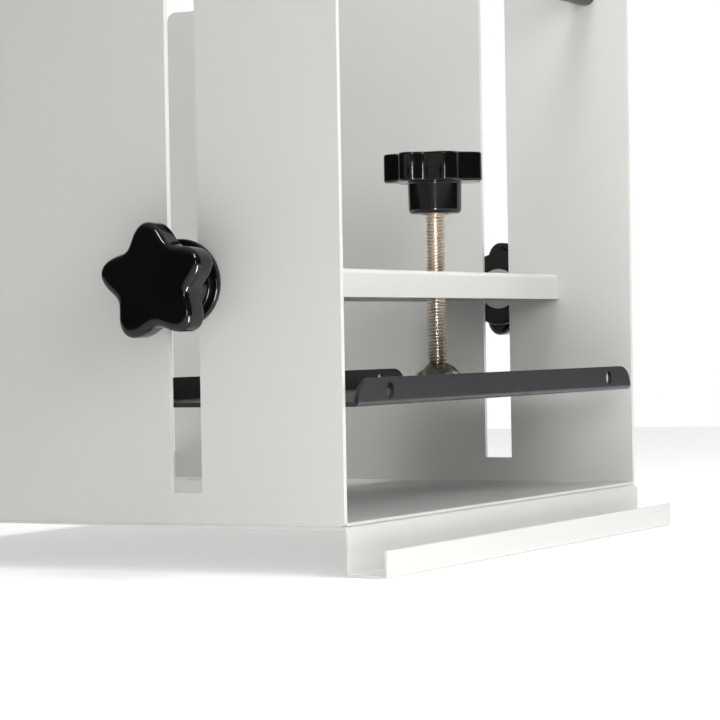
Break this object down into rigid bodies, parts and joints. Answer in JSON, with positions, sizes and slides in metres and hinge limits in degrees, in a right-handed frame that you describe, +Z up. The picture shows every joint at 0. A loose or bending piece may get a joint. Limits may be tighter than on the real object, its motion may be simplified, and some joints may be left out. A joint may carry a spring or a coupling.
{
  "type": "bookbinding press",
  "caption": "Padding press: slotted side walls on a guttered base, a clamped crossbar and two hand screws pushing a flat pressure plate onto a stack of sheets.",
  "frame": {"origin": "bottom centre of the bounding box, at table level", "axes": "+X along the crossbar (the longest extent), +Y to the rear, away from the drip gutter, +Z up"},
  "size_m": [0.3588, 0.2854, 0.2729],
  "materials": {
    "frame_paint": "light warm-grey powder coat, satin",
    "plate_paint": "black powder coat, satin",
    "black_paint": "black enamel, gloss",
    "knob_plastic": "black phenolic plastic, polished",
    "thread_nickel": "nickel-plated steel thread",
    "foot_chrome": "nickel-plated, polished",
    "washer_steel": "zinc-plated, dull",
    "screw_steel": "zinc-plated",
    "block_steel": "plain machined steel",
    "insert_brass": "turned brass",
    "foot_rubber": "moulded black rubber"
  },
  "bodies": {
    "frame": {"base_tray": "frame_paint", "bed_plate": "frame_paint", "left_side_wall": "frame_paint", "right_side_wall": "frame_paint", "tie_rod": "black_paint", "tie_rod_screws": "screw_steel", "rubber_feet": "foot_rubber", "foot_inserts": "insert_brass", "foot_bolts": "screw_steel"},
    "crossbar": {"crossbar": "frame_paint", "block_screws": "screw_steel", "left_slide_block": "block_steel", "right_slide_block": "block_steel", "left_screw_bush": "block_steel", "right_screw_bush": "block_steel"},
    "platen": {"pressure_plate": "plate_paint", "swivel_foot_screws": "screw_steel", "left_swivel_foot": "foot_chrome", "right_swivel_foot": "foot_chrome"},
    "left_screw": {"left_press_screw": "thread_nickel", "left_screw_clip": "screw_steel", "left_screw_knob": "knob_plastic", "left_knob_insert": "insert_brass"},
    "left_clamp": {"left_clamp_stud": "thread_nickel", "left_clamp_washer": "washer_steel", "left_clamp_collar": "knob_plastic", "left_star_knob": "knob_plastic"},
    "right_screw": {"right_press_screw": "thread_nickel", "right_screw_clip": "screw_steel", "right_screw_knob": "knob_plastic", "right_knob_insert": "insert_brass"},
    "right_clamp": {"right_clamp_stud": "thread_nickel", "right_clamp_washer": "washer_steel", "right_clamp_collar": "knob_plastic", "right_star_knob": "knob_plastic"}
  },
  "joints": [
    {"name": "crossbar_slide", "type": "slide", "parent": "frame", "child": "crossbar", "axis": [0, 0, 1], "range_m": [-0.02, 0.14]},
    {"name": "platen_slide", "type": "slide", "parent": "crossbar", "child": "platen", "axis": [0, 0, 1], "range_m": [-0.026, 0.028]},
    {"name": "left_screw_turn", "type": "hinge", "parent": "platen", "child": "left_screw", "pos_m": [-0.0821, -0.0507, 0.1], "axis": [0, 0, 1], "range_deg": [-5897.06, 6350.61]},
    {"name": "right_screw_turn", "type": "hinge", "parent": "platen", "child": "right_screw", "pos_m": [0.0821, -0.0507, 0.1], "axis": [0, 0, 1], "range_deg": [-5897.06, 6350.61]},
    {"name": "left_clamp_turn", "type": "hinge", "parent": "crossbar", "child": "left_clamp", "pos_m": [-0.16, -0.0507, 0.1193], "axis": [-1, 0, 0], "range_deg": [-180, 180]},
    {"name": "right_clamp_turn", "type": "hinge", "parent": "crossbar", "child": "right_clamp", "pos_m": [0.16, -0.0507, 0.1193], "axis": [1, 0, 0], "range_deg": [-180, 180]}
  ],
  "couplings": [
    {"joint": "left_screw_turn", "follows": "platen_slide", "rad_per_m": 3957.9},
    {"joint": "right_screw_turn", "follows": "platen_slide", "rad_per_m": 3957.9}
  ]
}
